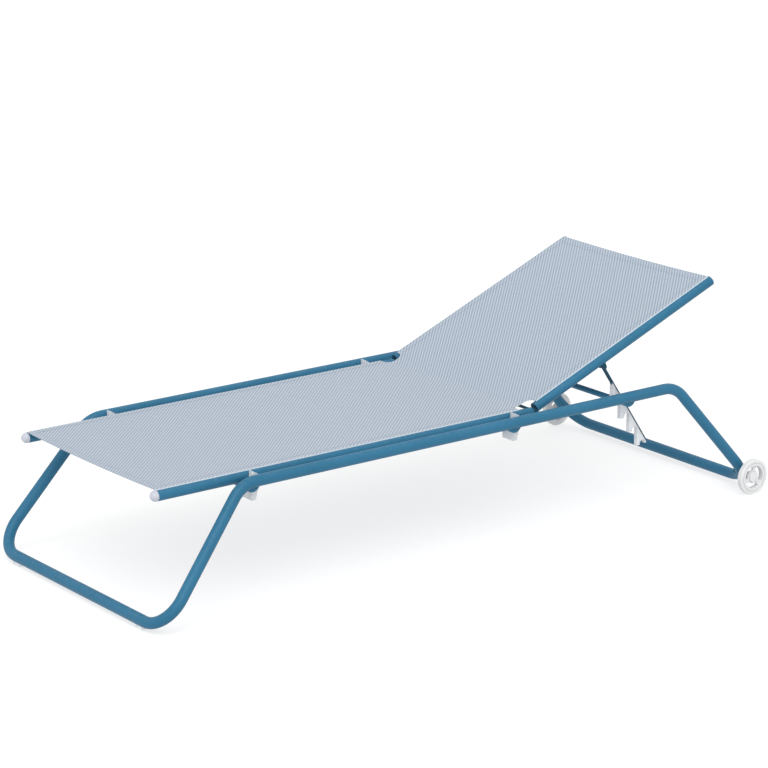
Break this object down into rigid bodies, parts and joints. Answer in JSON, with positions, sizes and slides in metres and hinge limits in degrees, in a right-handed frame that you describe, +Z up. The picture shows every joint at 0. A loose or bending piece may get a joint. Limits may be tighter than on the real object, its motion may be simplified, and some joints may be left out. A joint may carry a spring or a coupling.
{
  "type": "reclining sun lounger",
  "caption": "Low reclining sun lounger: bent tube frame, stretched mesh sling, hinged backrest held by a notched prop, and two wheels at the head end.",
  "frame": {"origin": "on the floor, at the middle of the plan", "axes": "+X to the head end, +Y to the far side, +Z up"},
  "size_m": [2.004, 0.8572, 0.6142],
  "materials": {
    "frame_paint": "satin blue powder coat on round tube",
    "dark_steel": "dark blue-grey coated steel rod",
    "bright_steel": "zinc plated steel",
    "frosted_plastic": "milky translucent nylon, fine moulded grain",
    "wheel_plastic": "white moulded polypropylene",
    "sling_mesh": "light blue-grey coated mesh, open weave with a diagonal line",
    "hem_bead": "extruded plastic cord"
  },
  "bodies": {
    "frame": {"foot_leg_loop": "frame_paint", "head_leg_loop": "frame_paint", "rail_joiners": "bright_steel", "cross_tube_foot": "frame_paint", "cross_tube_mid": "frame_paint", "cross_tube_head": "frame_paint", "rail_saddles": "frame_paint", "seat_rail_near": "frame_paint", "seat_rail_far": "frame_paint", "seat_hem_beads": "hem_bead", "foot_end_caps": "frosted_plastic", "seat_sling": "sling_mesh", "hinge_fork_near": "dark_steel", "hinge_fork_far": "dark_steel", "hinge_rod": "dark_steel", "hinge_nuts": "bright_steel", "spacer_blocks_foot": "frosted_plastic", "spacer_blocks_mid": "frosted_plastic", "block_screws": "bright_steel", "foot_glides": "frosted_plastic", "wheel_axles": "bright_steel", "axle_bosses": "frame_paint", "axle_washers": "bright_steel", "axle_retainers": "bright_steel"},
    "backrest": {"back_rail_near": "frame_paint", "back_rail_far": "frame_paint", "back_hem_beads": "hem_bead", "head_end_caps": "frosted_plastic", "back_sling": "sling_mesh", "hinge_tongue_near": "dark_steel", "hinge_tongue_far": "dark_steel", "back_spreader_low": "frame_paint", "back_spreader_high": "frame_paint", "prop_lugs": "frame_paint"},
    "prop": {"prop_pivot_rod": "dark_steel", "pivot_clips": "bright_steel", "prop_leg_near": "dark_steel", "prop_leg_far": "dark_steel", "prop_rack_near": "frosted_plastic", "prop_rack_far": "frosted_plastic", "rack_pins": "bright_steel"},
    "wheel_near": {"wheel_near": "wheel_plastic", "hub_cap_near": "wheel_plastic"},
    "wheel_far": {"wheel_far": "wheel_plastic", "hub_cap_far": "wheel_plastic"}
  },
  "joints": [
    {"name": "backrest_recline", "type": "hinge", "parent": "frame", "child": "backrest", "pos_m": [0.249, 0, 0.34], "axis": [0, -1, 0], "range_deg": [0, 34]},
    {"name": "prop_swing", "type": "hinge", "parent": "backrest", "child": "prop", "pos_m": [0.49126, 0, 0.42092], "axis": [0, -1, 0], "range_deg": [-8, 0]},
    {"name": "wheel_near_spin", "type": "hinge", "parent": "frame", "child": "wheel_near", "pos_m": [0.952, -0.4206, 0.05], "axis": [0, 1, 0], "continuous": true},
    {"name": "wheel_far_spin", "type": "hinge", "parent": "frame", "child": "wheel_far", "pos_m": [0.952, 0.4206, 0.05], "axis": [0, 1, 0], "continuous": true}
  ],
  "couplings": [
    {"joint": "prop_swing", "follows": "backrest_recline", "ratio": -0.2}
  ]
}
